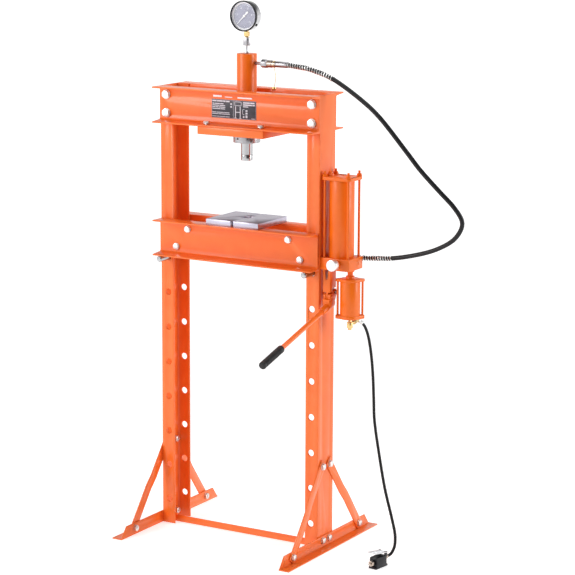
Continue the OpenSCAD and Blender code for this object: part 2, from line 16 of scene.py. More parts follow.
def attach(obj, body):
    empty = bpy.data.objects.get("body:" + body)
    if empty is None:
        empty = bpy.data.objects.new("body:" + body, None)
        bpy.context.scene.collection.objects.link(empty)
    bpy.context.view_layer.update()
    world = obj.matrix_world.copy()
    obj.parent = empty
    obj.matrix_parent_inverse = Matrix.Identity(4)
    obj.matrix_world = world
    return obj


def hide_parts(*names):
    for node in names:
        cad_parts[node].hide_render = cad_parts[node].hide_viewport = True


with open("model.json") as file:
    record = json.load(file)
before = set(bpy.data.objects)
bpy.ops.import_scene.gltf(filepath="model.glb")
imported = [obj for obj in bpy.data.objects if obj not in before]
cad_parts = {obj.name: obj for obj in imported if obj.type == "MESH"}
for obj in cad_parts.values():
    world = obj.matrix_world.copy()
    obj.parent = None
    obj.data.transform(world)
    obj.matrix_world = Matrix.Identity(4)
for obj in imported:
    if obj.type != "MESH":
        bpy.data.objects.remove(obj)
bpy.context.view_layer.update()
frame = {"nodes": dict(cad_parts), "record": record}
bpy.ops.object.select_all(action="DESELECT")
print(len(frame["nodes"]), "parts loaded")


# %% [markdown]
# The press centre line is where the ram stands, so it is the handiest place to measure from. All
# lengths are in metres.

# %% Measure from the ram
RAM = next(m for m in frame["record"]["mounts"] if m["name"] == "ram_face")["pos_m"]


def at(x, y, z):
    """A point given from the press centre line, sideways and back, and from the floor."""
    return Vector((RAM[0] + x, RAM[1] + y, z))


print("ram axis at", [round(v, 4) for v in RAM])

# %% [markdown]
# The camera stands well back to the right of the press, a little above its head, with a long lens, so
# upright lines stay nearly upright. A small lens shift puts the press in the middle of the picture.

# %% Camera
VIEW_TURN, VIEW_DOWN, VIEW_ROLL = math.radians(30.770), math.radians(10.398), math.radians(0.185)
bpy.ops.object.camera_add(location=at(3.7805, -6.1664, 2.2754))
camera = bpy.context.object
camera.matrix_world = (
    Matrix.Translation(camera.location)
    @ Matrix.Rotation(VIEW_TURN, 4, "Z")
    @ Matrix.Rotation(math.pi / 2 - VIEW_DOWN, 4, "X")
    @ Matrix.Rotation(VIEW_ROLL, 4, "Z")
)
camera.data.lens = 139.42
camera.data.sensor_width = 36
camera.data.shift_x = 0.0217
camera.data.shift_y = -0.0554
bpy.context.scene.camera = camera
bpy.ops.object.select_all(action="DESELECT")
print("camera set, lens", round(camera.data.lens), "mm")

# %% [markdown]
# Two hoses leave the machine. The oil hose goes from the coupler on the cylinder out to the right and
# back into the pump. The air hose goes from the air motor down to the foot valve. Each follows its
# route through a smooth curve, and a mesh tube is swept along it so that it can be measured.

# %% Routes of the two hoses
OIL_ROUTE = [
    (0.157, 0, 1.586), (0.240, 0, 1.576), (0.323, 0, 1.549), (0.422, 0, 1.491), (0.494, 0, 1.435),
    (0.582, 0.005, 1.338), (0.633, 0.010, 1.279), (0.693, 0.018, 1.219), (0.745, 0.028, 1.166),
    (0.768, 0.038, 1.118), (0.741, 0.046, 1.068), (0.686, 0.052, 1.031), (0.613, 0.056, 1.003),
    (0.510, 0.060, 0.979), (0.403, 0.060, 0.970),
]
AIR_ROUTE = [
    (0.391, 0.058, 0.763), (0.404, 0.074, 0.744), (0.416, 0.081, 0.706), (0.426, 0.084, 0.643),
    (0.434, 0.082, 0.573), (0.441, 0.076, 0.498), (0.450, 0.066, 0.432), (0.474, 0.050, 0.343),
    (0.512, 0.025, 0.227), (0.549, 0.004, 0.141), (0.569, -0.008, 0.090), (0.575, -0.018, 0.058),
    (0.57331, -0.02506, 0.0405), (0.57002, -0.03268, 0.0296), (0.56633, -0.04024, 0.0249),
    (0.564495, -0.04503, 0.024), (0.564007, -0.04814, 0.024),
]


def smooth_route(points, steps):
    """A curve that goes through every point, with a few steps between neighbours."""
    p = [at(*q) for q in points]
    path = []
    for i in range(len(p) - 1):
        a, b, c, d = p[max(i - 1, 0)], p[i], p[i + 1], p[min(i + 2, len(p) - 1)]
        for k in range(steps):
            t = k / steps
            path.append(0.5 * (2 * b + (c - a) * t + (2 * a - 5 * b + 4 * c - d) * t * t
                               + (3 * b - a - 3 * c + d) * t * t * t))
    return path + [p[-1]]


def length_of(path):
    return sum((b - a).length for a, b in zip(path, path[1:]))


OIL_PATH, AIR_PATH = smooth_route(OIL_ROUTE, 6), smooth_route(AIR_ROUTE, 6)
print("oil hose", round(length_of(OIL_PATH), 3), "m, air hose", round(length_of(AIR_PATH), 3), "m")

# %% [markdown]
# ## Tools of the workshop
# A few short functions do the repeated handwork: select a piece, apply a modifier, sweep a tube, turn
# an outline on a lathe, and hang the finished piece on the body that it moves with.

# %% Small helpers for modelling
SMOOTH_ANGLE = math.radians(35)


def select_only(piece):
    if bpy.context.object and bpy.context.object.mode != "OBJECT":
        bpy.ops.object.mode_set(mode="OBJECT")
    bpy.ops.object.select_all(action="DESELECT")
    piece.select_set(True)
    bpy.context.view_layer.objects.active = piece


def edit(piece):
    select_only(piece)
    bpy.ops.object.mode_set(mode="EDIT")
    bpy.ops.mesh.select_mode(type="VERT")
    bpy.ops.mesh.select_all(action="SELECT")


def done():
    bpy.ops.object.mode_set(mode="OBJECT")
    return bpy.context.object


def use(piece, kind, **settings):
    """Adds one modifier with its settings and applies it."""
    select_only(piece)
    modifier = piece.modifiers.new(kind.lower(), kind)
    for key, value in settings.items():
        setattr(modifier, key, value)
    bpy.ops.object.modifier_apply(modifier=modifier.name)
    return piece


def round_edges(piece, width, segments=2):
    return use(piece, "BEVEL", width=width, segments=segments, limit_method="ANGLE",
               angle_limit=math.radians(30), use_clamp_overlap=False, miter_outer="MITER_ARC")


def settle(piece):
    """Puts the piece's place into its mesh."""
    select_only(piece)
    bpy.ops.object.transform_apply(location=True, rotation=True, scale=True)
    return piece


def joined(pieces, name):
    select_only(pieces[0])
    for p in pieces[1:]:
        p.select_set(True)
    if len(pieces) > 1:
        bpy.ops.object.join()
    bpy.context.object.name = name
    return bpy.context.object


def finish(piece, name, body, material, replaces=(), smooth=True):
    """Names a piece, gives it its finish and hangs it on its body."""
    select_only(piece)
    if smooth:
        bpy.ops.object.shade_smooth_by_angle(angle=SMOOTH_ANGLE)
    piece.name = name
    piece.data.materials.clear()
    piece.data.materials.append(material)
    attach(piece, body)
    if replaces:
        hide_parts(*replaces)
    bpy.ops.object.select_all(action="DESELECT")
    return piece


def swept(path, radius, sides=20):
    """A closed round tube along a path, made as a curve with a round bevel and then a mesh."""
    bpy.ops.curve.primitive_nurbs_path_add()
    piece = bpy.context.object
    data = piece.data
    data.splines.clear()
    spline = data.splines.new("POLY")
    spline.points.add(len(path) - 1)
    for point, co in zip(spline.points, path):
        point.co = (*co, 1)
    data.bevel_depth, data.bevel_resolution = radius, (sides - 4) // 4
    data.use_fill_caps = True
    piece.matrix_world = Matrix.Identity(4)
    select_only(piece)
    bpy.ops.object.convert(target="MESH")
    return bpy.context.object


def turned(profile, steps=48):
    """Spins an outline of (radius, height) points about the Z axis into a closed solid."""
    bpy.ops.curve.primitive_nurbs_path_add()
    piece = bpy.context.object
    data = piece.data
    data.splines.clear()
    spline = data.splines.new("POLY")
    spline.points.add(len(profile) - 1)
    for point, (radius, height) in zip(spline.points, profile):
        point.co = (radius, 0, height, 1)
    piece.matrix_world = Matrix.Identity(4)
    select_only(piece)
    bpy.ops.object.convert(target="MESH")
    piece = use(bpy.context.object, "SCREW", steps=steps, render_steps=steps,
                use_merge_vertices=True, merge_threshold=0.00001)
    edit(piece)
    bpy.ops.mesh.remove_doubles(threshold=0.000005)
    bpy.ops.mesh.normals_make_consistent(inside=False)
    return done()


def aimed(piece, where, direction=(0, 0, 1)):
    """Moves a piece made on the Z axis so that Z points in a direction."""
    turn = Vector(direction).to_track_quat("Z", "Y").to_matrix().to_4x4()
    piece.matrix_world = Matrix.Translation(where) @ turn
    return settle(piece)


def spread(pattern, places):
    """Copies a pattern to several places, each a point and a direction, and joins the copies."""
    made = []
    for where, direction in places:
        piece = bpy.data.objects.new(pattern.name, pattern.data.copy())
        bpy.context.collection.objects.link(piece)
        made.append(aimed(piece, where, direction))
    bpy.data.objects.remove(pattern)
    return joined(made, "spread")


def block(low, high):
    """A box between two corners."""
    low, high = Vector(low), Vector(high)
    bpy.ops.mesh.primitive_cube_add(size=1, location=(low + high) / 2)
    bpy.context.object.scale = high - low
    return settle(bpy.context.object)


print("helpers ready")

# %% [markdown]
# A copy of an exact part keeps its shape. Its triangles are merged into whole faces first, and then
# the sharp edges get a narrow rounding that catches the light as real edges do.

# %% Rounded copies
BODY_OF = {}
for body_name, members in frame["record"]["behaviour"]["bodies"].items():
    BODY_OF.update({member: body_name for member in members})


def copy_of(node):
    part = frame["nodes"][node]
    piece = bpy.data.objects.new(node + "_copy", part.data.copy())
    bpy.context.collection.objects.link(piece)
    piece.matrix_world = part.matrix_world
    edit(piece)
    bpy.ops.mesh.remove_doubles(threshold=0.00001)
    bpy.ops.mesh.dissolve_limited(angle_limit=math.radians(0.5))
    done()
    return settle(piece)


DRESSED = {}


def refined(node, width, segments=2):
    """Dresses one exact part: copied, rounded, and shown in place of the part itself."""
    piece = round_edges(copy_of(node), width, segments)
    DRESSED[node] = piece
    return finish(piece, node + "_dressed", BODY_OF[node], LOOK_OF[node], [node])


# %% [markdown]
# ## Finishes
# A finish is a small network of shader nodes. Written as Python sums, it reads like the recipe it is:
# a base colour, a little dirt, a fine bump. One class wraps a socket so that plus and times add the
# maths nodes, and one method adds any other node.

# %% A class for shader sums
class Net:
    """A socket that can be added, multiplied and mixed."""

    def __init__(self, tree, socket=None):
        self.tree, self.socket = tree, socket

    def node(self, kind, settings=None, **values):
        """Adds a node. A value called i0, i1 and so on goes to the input of that number."""
        made = self.tree.nodes.new(kind)
        for key, value in (settings or {}).items():
            setattr(made, key, value)
        for key, value in values.items():
            numbered = key[0] == "i" and key[1:].isdigit()
            target = made.inputs[int(key[1:]) if numbered else key.replace("_", " ")]
            if isinstance(value, Net):
                self.tree.links.new(value.socket, target)
            else:
                target.default_value = value
        return made

    def out(self, made, name=0):
        return Net(self.tree, made.outputs[name])

    def maths(self, operation, a, b=0.0):
        return self.out(self.node("ShaderNodeMath", {"operation": operation}, i0=a, i1=b))

    def __add__(self, other):
        return self.maths("ADD", self, other)

    def __mul__(self, other):
        return self.maths("MULTIPLY", self, other)

    def __sub__(self, other):
        return self.maths("SUBTRACT", self, other)

    def __truediv__(self, other):
        return self.maths("DIVIDE", self, other)

    def clamp(self, low=0.0, high=1.0):
        return self.out(self.node("ShaderNodeClamp", None, Value=self, Min=low, Max=high))

    def mix(self, a, b):
        """Colour a where this value is 0 and colour b where it is 1."""
        return self.out(self.node("ShaderNodeMix", {"data_type": "RGBA"}, i0=self, i6=a, i7=b), 2)


class Finish:
    """A material with one Principled shader, ready for its own pattern."""

    def __init__(self, name, **fixed):
        self.material = bpy.data.materials.new(name)
        self.material.use_nodes = True
        self.tree = self.material.node_tree
        self.shader = self.tree.nodes["Principled BSDF"]
        self.net = Net(self.tree)
        coordinates = self.net.node("ShaderNodeTexCoord")
        self.place = Net(self.tree, coordinates.outputs["Object"])
        self.set(**fixed)

    def set(self, **values):
        for key, value in values.items():
            socket = self.shader.inputs[key.replace("_", " ")]
            if isinstance(value, Net):
                self.tree.links.new(value.socket, socket)
            else:
                socket.default_value = value

    def stretched(self, x=1.0, y=1.0, z=1.0):
        return self.net.out(self.net.node("ShaderNodeMapping", None, Vector=self.place, Scale=(x, y, z)))

    def noise(self, scale, detail=3.0, roughness=0.5, where=None):
        made = self.net.node("ShaderNodeTexNoise", None, Vector=where or self.place, Scale=scale,
                             Detail=detail, Roughness=roughness)
        return self.net.out(made, "Fac")

    def bump(self, height, strength, distance):
        made = self.net.node("ShaderNodeBump", None, Height=height, Strength=strength,
                             Distance=distance)
        self.set(Normal=self.net.out(made))


def grey(value):
    return (value, value, value, 1)


print("shader sums ready")

# %% [markdown]
# The frame and the pump are painted at different works, so there are two oranges. Both have a faint
# orange-peel skin, which a fine bump gives.

# %% Paint
def powder_coat(name, colour, pale, deep, coat):
    """Gloss powder coat: a faint orange-peel skin, thin at the edges of patches, a few dull smudges."""
    paint = Finish(name, Specular_IOR_Level=0.35, Coat_Weight=coat, Coat_Roughness=0.10)
    broad = paint.noise(3.0, 2.0)
    patch = ((broad - 0.35) * 2.2).clamp()
    tone = (paint.noise(28.0, 4.0) - 0.5) * 0.25 + 0.5
    base = patch.mix(deep, colour)
    paint.set(Base_Color=((tone - 0.42) * 3.0).clamp().mix(base, pale))
    paint.set(Roughness=(paint.noise(9.0, 5.0, 0.6) * 0.22 + 0.24).clamp(0.2, 0.6))
    skin = paint.noise(420.0, 2.0, 0.4) * 0.7 + paint.noise(60.0, 2.0) * 0.3
    paint.bump(skin, 0.12, 0.0006)
    return paint.material


ORANGE = powder_coat("orange_powder_coat", (0.92, 0.165, 0.018, 1), (0.95, 0.20, 0.028, 1),
                     (0.87, 0.136, 0.012, 1), 0.32)
PUMP_ORANGE = powder_coat("pump_orange_paint", (0.86, 0.146, 0.003, 1), (0.90, 0.18, 0.006, 1),
                          (0.82, 0.124, 0.002, 1), 0.12)
print("two paints mixed")

# %% [markdown]
# Each metal has a colour, a range of gloss, and noise stretched along the way that it was worked.

# %% Bare and plated metals
def metal(name, colour, low, high, brushed=(40, 40, 40), streak=0.25, bump=0.1, metallic=1.0):
    """A metal whose gloss changes along fine tool marks."""
    made = Finish(name, Metallic=metallic)
    marks = made.noise(10.0, 6.0, 0.65, made.stretched(*brushed))
    cloud = made.noise(18.0, 3.0)
    made.set(Roughness=(marks * (high - low) + low).clamp())
    dark = tuple(c * (1 - streak) for c in colour[:3]) + (1,)
    made.set(Base_Color=((marks * 0.5 + cloud * 0.5 - 0.3) * 2.2).clamp().mix(dark, colour))
    made.bump(marks, bump, 0.0004)
    return made.material


ZINC = metal("zinc_plate", (0.80, 0.80, 0.79, 1), 0.24, 0.42, (12, 12, 12), 0.16, 0.05)
SCREW_ZINC = metal("bright_zinc", (0.86, 0.86, 0.85, 1), 0.28, 0.44, (12, 12, 12), 0.08, 0.03)
FITTING = metal("fitting_steel", (0.46, 0.45, 0.47, 1), 0.20, 0.38, (12, 12, 12), 0.25, 0.05)
NICKEL = metal("nickel_plate", (0.56, 0.47, 0.40, 1), 0.20, 0.36, (12, 12, 12), 0.16, 0.05)
BRIGHT = metal("bright_steel", (0.50, 0.50, 0.51, 1), 0.08, 0.22, (4, 4, 60), 0.20, 0.05)
PLATE_STEEL = metal("ground_plate", (0.60, 0.58, 0.69, 1), 0.22, 0.40, (90, 5, 5), 0.22, 0.10, 0.85)
BRASS = metal("brass", (0.86, 0.60, 0.26, 1), 0.16, 0.34, (14, 14, 14), 0.2, 0.05)
CHROME = metal("chrome", (0.62, 0.62, 0.63, 1), 0.10, 0.22, (8, 8, 8), 0.10, 0.02)
ALUMINIUM = metal("tread_aluminium", (0.80, 0.81, 0.83, 1), 0.25, 0.45, (6, 60, 6), 0.2, 0.1)
print("metals ready")

# %% [markdown]
# Rubber and enamel are near black with pale dusty patches. Dial, inks and glass are plainer still.

# %% Rubber, plastic, glass and print
def soft_black(name, colour, low, high, grain, bump):
    made = Finish(name, Specular_IOR_Level=0.30)
    made.set(Roughness=(made.noise(30.0, 4.0) * (high - low) + low).clamp())
    pale = tuple(c * 2.2 + 0.004 for c in colour[:3]) + (1,)
    made.set(Base_Color=((made.noise(12.0, 5.0, 0.7) - 0.45) * 2.5).clamp().mix(colour, pale))
    made.bump(made.noise(grain, 3.0), bump, 0.0005)
    return made.material


HOSE = soft_black("hose_rubber", (0.005, 0.005, 0.006, 1), 0.34, 0.46, 300.0, 0.08)
GRIP = soft_black("grip_rubber", (0.012, 0.012, 0.013, 1), 0.35, 0.55, 500.0, 0.12)
BLACK = soft_black("black_enamel", (0.007, 0.007, 0.009, 1), 0.25, 0.42, 260.0, 0.10)
PRINT = soft_black("plate_print", (0.045, 0.044, 0.055, 1), 0.30, 0.42, 200.0, 0.04)


def plain(name, colour, rough, **fixed):
    made = Finish(name, **fixed)
    pale = tuple(min(1, c * 1.06 + 0.01) for c in colour[:3]) + (1,)
    made.set(Base_Color=((made.noise(40.0, 3.0) - 0.4) * 3.0).clamp().mix(colour, pale))
    made.set(Roughness=(made.noise(60.0, 3.0) * 0.08 + rough).clamp())
    return made.material


DIAL = plain("dial_face", (0.34, 0.34, 0.44, 1), 0.55)
INK_WHITE = plain("white_ink", (0.90, 0.90, 0.93, 1), 0.40)
INK_GREY = plain("grey_ink", (0.60, 0.60, 0.66, 1), 0.45)
NEEDLE = plain("needle_white", (0.95, 0.95, 0.96, 1), 0.35)
GLASS = plain("lens_glass", (0.96, 0.97, 1.0, 1), 0.02, Alpha=0.05, Specular_IOR_Level=0.3)

print("rubber, inks and glass ready")

# %% [markdown]
# The record says which material each part has. A few fittings are then given a plating of their own.

# %% Choose a finish for every part
LOOKS = {"orange_paint": ORANGE, "zinc_plate": ZINC, "bright_steel": BRIGHT, "dark_steel": PLATE_STEEL,
         "brass": BRASS, "case_chrome": CHROME, "black_paint": BLACK, "lens_glass": GLASS,
         "dial_face": DIAL, "needle_white": NEEDLE, "hose_rubber": HOSE, "grip_rubber": GRIP,
         "tread_aluminium": ALUMINIUM, "plate_print": PRINT}
SLOT_OF = {s["node"]: s["material_slot"] for s in frame["record"]["subparts"]}
PUMP_PARTS = ("cylinder_tube pump_base pump_reservoir pump_cap pump_tie_rods pump_link handle_socket "
              "motor_barrel motor_ends").split()
LOOK_OF = {n: PUMP_ORANGE if n in PUMP_PARTS else LOOKS[SLOT_OF[n]] for n in frame["nodes"]}
LOOK_OF.update({n: FITTING for n in ("gauge_adapter", "hose_coupler", "pump_elbow", "lock_ring")})
LOOK_OF["pedal_fittings"] = NICKEL
for name, part in frame["nodes"].items():
    part.data.materials.clear()
    part.data.materials.append(LOOK_OF[name])
print(len(set(LOOK_OF.values())), "finishes in use")

# %% [markdown]
# Heavy channel has a wider rounding than thin sheet or a turned pin. Widths are in metres.

# %% Round the edges of the machine
ROUNDING = {
    0.0014: "cylinder_plate bed_channel_front bed_channel_rear pump_base motor_ends",
    0.0011: "post_left post_right head_beam_front head_beam_rear arbor_plate_left arbor_plate_right",
    0.0008: "foot_left foot_right cross_bar brace_left_front brace_left_rear brace_right_front "
            "brace_right_rear pump_link lock_ring cylinder_tube pump_reservoir bed_spacers",
    0.0005: "ram_nose ram_rod ram_piston bed_pin_left bed_pin_right pedal_body handle_socket "
            "gauge_case gauge_adapter gauge_stem hose_coupler pump_elbow air_elbow motor_barrel "
            "handle_bar pump_plunger pedal_fittings",
    0.0002: "gauge_needle gauge_lens data_plate dust_cap pedal_tread",
}
for width, names in ROUNDING.items():
    for node in names.split():
        refined(node, width)
refined("pump_cap", 0.0022, 3)
print("rounded", sum(len(names.split()) for names in ROUNDING.values()) + 1, "parts")

# %% [markdown]
# ## Screws
# One screw is modelled for each size: a washer, a six-sided head whose corners are turned off by a
# cone, a shank with thread ridges and a nut. It is then copied to each hole.

# %% One screw and its places
def hexagon(across, height):
    """A six-sided prism with its upper corners turned off."""
    corner = across / 2 / math.cos(math.pi / 6)
    bpy.ops.mesh.primitive_cylinder_add(vertices=6, radius=corner, depth=height,
                                        location=(0, 0, height / 2))
    prism = settle(bpy.context.object)
    flat, rim = across / 2 * 0.95, corner + 0.001
    cone = turned([(0, -0.001), (rim, -0.001), (rim, height - (rim - flat) * 0.58), (flat, height),
                   (flat - 0.0017, height + 0.001), (0, height + 0.001)], 36)
    use(prism, "BOOLEAN", operation="INTERSECT", object=cone, solver="EXACT")
    bpy.data.objects.remove(cone)
    return prism


def threaded(radius, length, plain_part, pitch=0.0018):
    """A shank hanging below the head, with ridges on its lower part."""
    outline = [(0, 0.0005), (radius, 0.0005), (radius, -plain_part)]
    height = -plain_part
    while height - pitch > -length + 0.001:
        outline += [(radius * 0.86, height - pitch / 2), (radius, height - pitch)]
        height -= pitch
    return turned(outline + [(radius * 0.8, -length), (0, -length)], 24)


WASHER = 0.0018


def screw(across, head, radius, length, nut_at=None):
    """A washer, a head and a shank, with a nut at a depth where one is asked for."""
    pieces = [turned([(0, 0), (across * 0.6, 0), (across * 0.61, WASHER * 0.5),
                      (across * 0.6, WASHER), (0, WASHER)], 32)]
    pieces.append(aimed(hexagon(across, head - WASHER), (0, 0, WASHER)))
    pieces.append(threaded(radius, length, length - 0.012 if nut_at is None else nut_at))
    if nut_at is not None:
        pieces.append(aimed(hexagon(across, radius * 1.6), (0, 0, -nut_at), (0, 0, -1)))
    return joined(pieces, "screw")


# width across the flats, height of head and washer, radius of the shank
LARGE = (0.025, 0.010, 0.008)
MIDDLE = (0.019, 0.008, 0.006)
SMALL = (0.013, 0.0055, 0.004)
SIDES = (-1, 1)
HEAD_SCREWS = [(at(s * 0.277, m * 0.0555, z), (0, m, 0))
               for s in SIDES for m in SIDES for z in (1.472, 1.411)]
BED_SCREWS = [(at(s * x, -0.059, z), (0, -1, 0)) for s in SIDES
              for x, z in ((0.193, 1.0283), (0.238, 0.9663))]
FOOT_SCREWS = [(at(s * 0.308, y, 0.025), (s, 0, 0)) for s in SIDES for y in (-0.020, 0.020)]
BRACE_TOPS = [(at(s * 0.308, y, 0.278), (s, 0, 0)) for s in SIDES for y in (-0.024, 0.024)]
BRACE_FEET = [(at(s * 0.312, y, 0.023), (s, 0, 0)) for s in SIDES for y in (-0.220, 0.220)]
PLATE_SCREWS = [(at(i * 0.103, j * 0.082, 1.3892), (0, 0, 1)) for i in SIDES for j in SIDES]
PUMP_SCREWS = [(at(0.2986, y, 0.960), (-1, 0, 0)) for y in (-0.028, 0.028)]
head_screws = spread(screw(*LARGE, 0.030, 0.0141), HEAD_SCREWS)
finish(head_screws, "head_screws", "frame", SCREW_ZINC, ["head_bolts"])
bed_screws = spread(screw(*MIDDLE, 0.132, 0.118), BED_SCREWS)
finish(bed_screws, "bed_screws", "bed", SCREW_ZINC, ["bed_bolts"])
base_screws = joined([spread(screw(*MIDDLE, 0.027, 0.0134), FOOT_SCREWS),
                      spread(screw(*MIDDLE, 0.022, 0.0094), BRACE_TOPS),
                      spread(screw(*MIDDLE, 0.020, 0.0081), BRACE_FEET)], "base")
finish(base_screws, "base_screws", "frame", ZINC, ["base_bolts"])
plate_screws = spread(screw(*MIDDLE, 0.028), PLATE_SCREWS)
finish(plate_screws, "plate_screws", "frame", SCREW_ZINC, ["plate_bolts"])
pump_screws = spread(screw(*SMALL, 0.018), PUMP_SCREWS)
finish(pump_screws, "pump_screws", "frame", ZINC, ["pump_bolts"])
print(len(HEAD_SCREWS + BED_SCREWS + FOOT_SCREWS + BRACE_TOPS + BRACE_FEET), "screws with nuts")

# %% [markdown]
# ## Pump
# The tie rods end in nuts over the cap. The release knob is a plain turned wheel with a rounded rim,
# and the handle ends in a ribbed rubber grip.

# %% Tie rods, knob and grip
PUMP_X = 0.358
ROD_X, ROD_Y = 0.043, 0.036
ROD_TOP, ROD_FOOT = 1.258, 0.979


def at_rods(height):
    return [(at(PUMP_X + i * ROD_X, j * ROD_Y, height), (0, 0, 1)) for i in SIDES for j in SIDES]


rod_nut = joined([threaded(0.004, 0.030, 0.004, 0.0013), aimed(hexagon(0.014, 0.008), (0, 0, -0.0169)),
                  turned([(0, -0.0171), (0.009, -0.0171), (0.009, -0.0157), (0, -0.0157)], 28)], "rod")
rods = spread(rod_nut, at_rods(ROD_TOP))
long_rods = spread(turned([(0, 0), (0.004, 0), (0.004, 0.252), (0, 0.252)], 24), at_rods(ROD_FOOT))
finish(joined([rods, long_rods], "rods"), "tie_rods_and_nuts", "frame", PUMP_ORANGE,
       ["pump_tie_rods"])
wheel = turned([(0, 0), (0.0165, 0), (0.019, 0.0015), (0.019, 0.0165), (0.0183, 0.0188),
                (0.0168, 0.0198), (0.0075, 0.0200), (0.0060, 0.0192), (0, 0.0192)], 60)
spindle = turned([(0, -0.020), (0.004, -0.020), (0.004, 0.001), (0, 0.001)], 24)
knob = aimed(joined([wheel, spindle], "knob"), at(0.367, -0.065, 0.963), (0, -1, 0))
finish(knob, "release_wheel", "release_knob", SCREW_ZINC, ["release_knob"])
DROP = math.radians(15.6)
GRIP_TIP = at(0.328, -0.44503, 0.70270)
GRIP_AXIS = (0, math.cos(DROP), math.sin(DROP))
ribs = [(0, 0), (0.0085, 0), (0.0113, 0.0012), (0.0125, 0.0040), (0.0125, 0.0090)]
for k in range(24):
    z = 0.011 + k * 0.004
    ribs += [(0.0117, z), (0.0117, z + 0.0012), (0.0124, z + 0.0018), (0.0124, z + 0.0034)]
ribs += [(0.0125, 0.1100), (0.0125, 0.1195), (0.0116, 0.1215), (0.0082, 0.1220), (0, 0.1220)]
grip = aimed(turned(ribs, 40), GRIP_TIP, GRIP_AXIS)
finish(grip, "ribbed_grip", "handle", GRIP, ["handle_grip"])
print("pump dressed")

# %% [markdown]
# ## Foot valve
# The tread is a folded sheet with raised ribs for grip.

# %% Tread ribs
TREAD_TURN = Matrix.Rotation(math.radians(82), 4, "Z")
TREAD_SLOPE = Matrix.Translation((0.024, 0, 0.045)) @ Matrix.Rotation(math.radians(8), 4, "Y")
tread_ribs = []
for k in range(9):
    rib = round_edges(block((-0.056 + k * 0.006, -0.0145, 0.0023), (-0.0535 + k * 0.006, 0.0145, 0.0033)),
                      0.0004, 2)
    rib.matrix_world = Matrix.Translation(at(0.557, -0.098, 0)) @ TREAD_TURN @ TREAD_SLOPE
    tread_ribs.append(settle(rib))
ridges = finish(joined(tread_ribs, "ribs"), "tread_ribs", "pedal_tread", ALUMINIUM)
print(len(tread_ribs), "ribs on the tread")

# %% [markdown]
# ## Hoses
# Each hose is a tube swept along its route. The foot valve sits at the end of the air hose. A coil
# of wire guards the oil hose where it would kink, close to its two ends.

# %% Hoses and coil guards
OIL_RADIUS, AIR_RADIUS = 0.0075, 0.005
oil_hose = swept(OIL_PATH, OIL_RADIUS)
finish(oil_hose, "oil_hose", "frame", HOSE, ["hydraulic_hose"])
length_of(OIL_PATH)
air_line = swept(AIR_PATH, AIR_RADIUS)
finish(air_line, "air_line", "frame", HOSE, ["air_hose"])
valve = [DRESSED[n] for n in ("pedal_body", "pedal_tread", "pedal_fittings")] + [ridges]
length_of(AIR_PATH)


def wound(path, radius, pitch, per_turn=12):
    """Points that wind round a path, like a spring on a hose."""
    total = length_of(path)
    count = int(total / pitch * per_turn)
    steps = [(b - a).length for a, b in zip(path, path[1:])]
    points, segment, passed = [], 0, 0.0
    for i in range(count + 1):
        wanted = total * i / count
        while segment < len(steps) - 1 and passed + steps[segment] < wanted:
            passed += steps[segment]
            segment += 1
        a, b = path[segment], path[segment + 1]
        along = (b - a).normalized()
        centre = a.lerp(b, (wanted - passed) / steps[segment])
        across = along.cross(Vector((0, 1, 0))).normalized()
        beside = along.cross(across)
        turn = 2 * math.pi * i / per_turn
        points.append(centre + radius * (math.cos(turn) * across + math.sin(turn) * beside))
    return points


guards = [swept(wound(path, 0.0081, 0.0090), 0.0018, 8) for path in (OIL_PATH[:13], OIL_PATH[-7:])]
finish(joined(guards, "guards"), "coil_guards", "frame", SCREW_ZINC, ["hose_guards"])
print("coils wound")

# %% [markdown]
# The brass sleeve of the coupler has fine grip rings, and a crimped ferrule holds the air hose.

# %% Coupler sleeve and ferrules
ring = [(0.0083, 0), (0.0112, 0), (0.0118, 0.0008)]
for k in range(6):
    z = 0.0016 + k * 0.0025
    ring += [(0.0120, z), (0.0120, z + 0.0014), (0.0113, z + 0.0019)]
ring += [(0.0116, 0.0174), (0.0102, 0.0186), (0.0102, 0.0296), (0.0095, 0.0300), (0.0083, 0.0300),
         (0.0083, 0)]
sleeve = aimed(turned(ring, 48), at(0.0802, 0, 1.586), (1, 0, 0))
finish(sleeve, "ringed_sleeve", "frame", NICKEL, ["coupler_sleeve"])
crimp = [(0.0052, 0), (0.0066, 0)]
for z in (0.004, 0.008, 0.012):
    crimp += [(0.0068, z - 0.0016), (0.0062, z), (0.0068, z + 0.0016)]
crimp += [(0.0066, 0.017), (0.0052, 0.017), (0.0052, 0)]
start = AIR_PATH[0]
ferrule = aimed(turned(crimp, 32), start, AIR_PATH[3] - start)
finish(ferrule, "air_ferrule", "frame", ZINC)
print("sleeve ringed, ferrule crimped")

# %% [markdown]
# ## Gauge
# The dial has a light rim, fifty ticks on a three-quarter circle and six plain numbers. A black bead
# holds the lens, and a small rubber plug closes the filling hole in the case.

# %% Gauge face
GAUGE = at(0, 0, 1.738)
FACE_Y = -0.0141
FRONT = (0, -1, 0)
bead = [(0.0456, 0.0046), (0.0456, 0.0076), (0.0464, 0.0094), (0.0476, 0.0100), (0.0488, 0.0096),
        (0.0498, 0.0082), (0.0500, 0.0060), (0.0500, 0.0012), (0.0494, 0), (0.0481, 0),
        (0.0481, 0.0040), (0.0456, 0.0046)]
finish(aimed(turned(bead, 96), GAUGE + Vector((0, -0.016, 0)), FRONT), "lens_bead", "frame", BLACK,
       ["gauge_bezel"])
finish(round_edges(copy_of("gauge_dial"), 0.0002), "dial_disc", "frame", DIAL,
       ["gauge_dial"])
rim = turned([(0.0405, 0), (0.0405, 0.0010), (0.0418, 0.0016), (0.0458, 0.0030), (0.0458, 0),
              (0.0405, 0)], 96)
finish(aimed(rim, GAUGE + Vector((0, FACE_Y, 0)), FRONT), "dial_rim", "frame", INK_WHITE)
FIRST_TICK = 225
TICK_STEP = 5.4
TICKS_PER_NUMBER = 10
